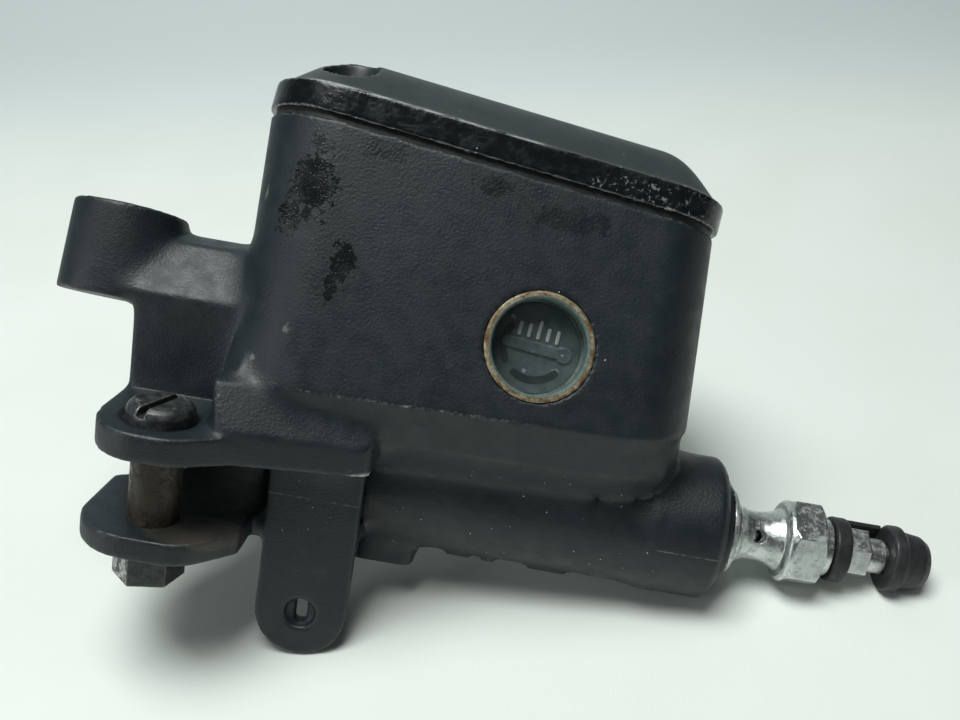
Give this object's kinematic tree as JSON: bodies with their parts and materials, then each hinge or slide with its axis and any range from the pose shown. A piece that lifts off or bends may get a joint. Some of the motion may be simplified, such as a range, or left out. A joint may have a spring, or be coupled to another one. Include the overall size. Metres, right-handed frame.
{
  "type": "motorcycle brake master cylinder",
  "caption": "Handlebar brake master cylinder with an integral leaning fluid reservoir, sight glass, lever pivot ears, mirror boss, bar clamp and a hollow port bolt with a capped bleed screw.",
  "frame": {"origin": "centre of the piston bore at the face of the hose port", "axes": "+X along the piston bore towards the hose port, +Y back towards the handlebar, +Z along the lever pivot"},
  "size_m": [0.1585, 0.0814, 0.0999],
  "materials": {
    "body_casting": "pebbled black powder coat",
    "reservoir_lid": "scuffed gloss black paint",
    "lid_screws": "dull plated steel",
    "diaphragm": "soft black rubber",
    "splash_plate": "thin stainless sheet",
    "sight_ring": "rust-stained plated steel",
    "sight_lens": "clear glass with a green cast",
    "sight_seal": "pale green rubber",
    "level_reflector": "grey moulded plastic",
    "piston": "anodised aluminium",
    "secondary_cup": "black rubber",
    "primary_cup": "black rubber",
    "spring_seat": "pressed steel",
    "return_spring": "spring steel wire",
    "stop_washer": "plated steel",
    "circlip": "phosphated spring steel",
    "dust_boot": "soft black rubber",
    "pivot_bolt": "worn black finish on steel",
    "pivot_bush": "brown greased and rusted steel",
    "pivot_nut": "worn black finish on steel",
    "crush_washer": "pitted soft metal",
    "banjo_bolt": "zinc plate with white corrosion",
    "bleed_screw": "zinc plate with dark stains",
    "bleed_cap": "black rubber",
    "cap_tether": "black rubber",
    "clamp_cap": "pebbled black powder coat",
    "clamp_bolts": "black oxide steel"
  },
  "bodies": {
    "housing": {"body_casting": "body_casting", "reservoir_lid": "reservoir_lid", "lid_screws": "lid_screws", "diaphragm": "diaphragm", "splash_plate": "splash_plate", "sight_ring": "sight_ring", "sight_lens": "sight_lens", "sight_seal": "sight_seal", "level_reflector": "level_reflector", "return_spring": "return_spring", "stop_washer": "stop_washer", "circlip": "circlip", "dust_boot": "dust_boot", "pivot_bolt": "pivot_bolt", "pivot_bush": "pivot_bush", "pivot_nut": "pivot_nut", "crush_washer": "crush_washer", "banjo_bolt": "banjo_bolt", "bleed_cap": "bleed_cap", "cap_tether": "cap_tether", "clamp_cap": "clamp_cap", "clamp_bolts": "clamp_bolts"},
    "plunger": {"piston": "piston", "primary_cup": "primary_cup", "secondary_cup": "secondary_cup", "spring_seat": "spring_seat"},
    "bleeder": {"bleed_screw": "bleed_screw"}
  },
  "joints": [
    {"name": "piston_slide", "type": "slide", "parent": "housing", "child": "plunger", "axis": [1, 0, 0], "range_m": [0, 0.009], "stiffness_N_per_m": 900, "springref_m": -0.004, "deforming": ["return_spring"]},
    {"name": "bleed_screw_turn", "type": "hinge", "parent": "housing", "child": "bleeder", "pos_m": [0.024, 0, 0], "axis": [1, 0, 0], "range_deg": [0, 180]}
  ]
}
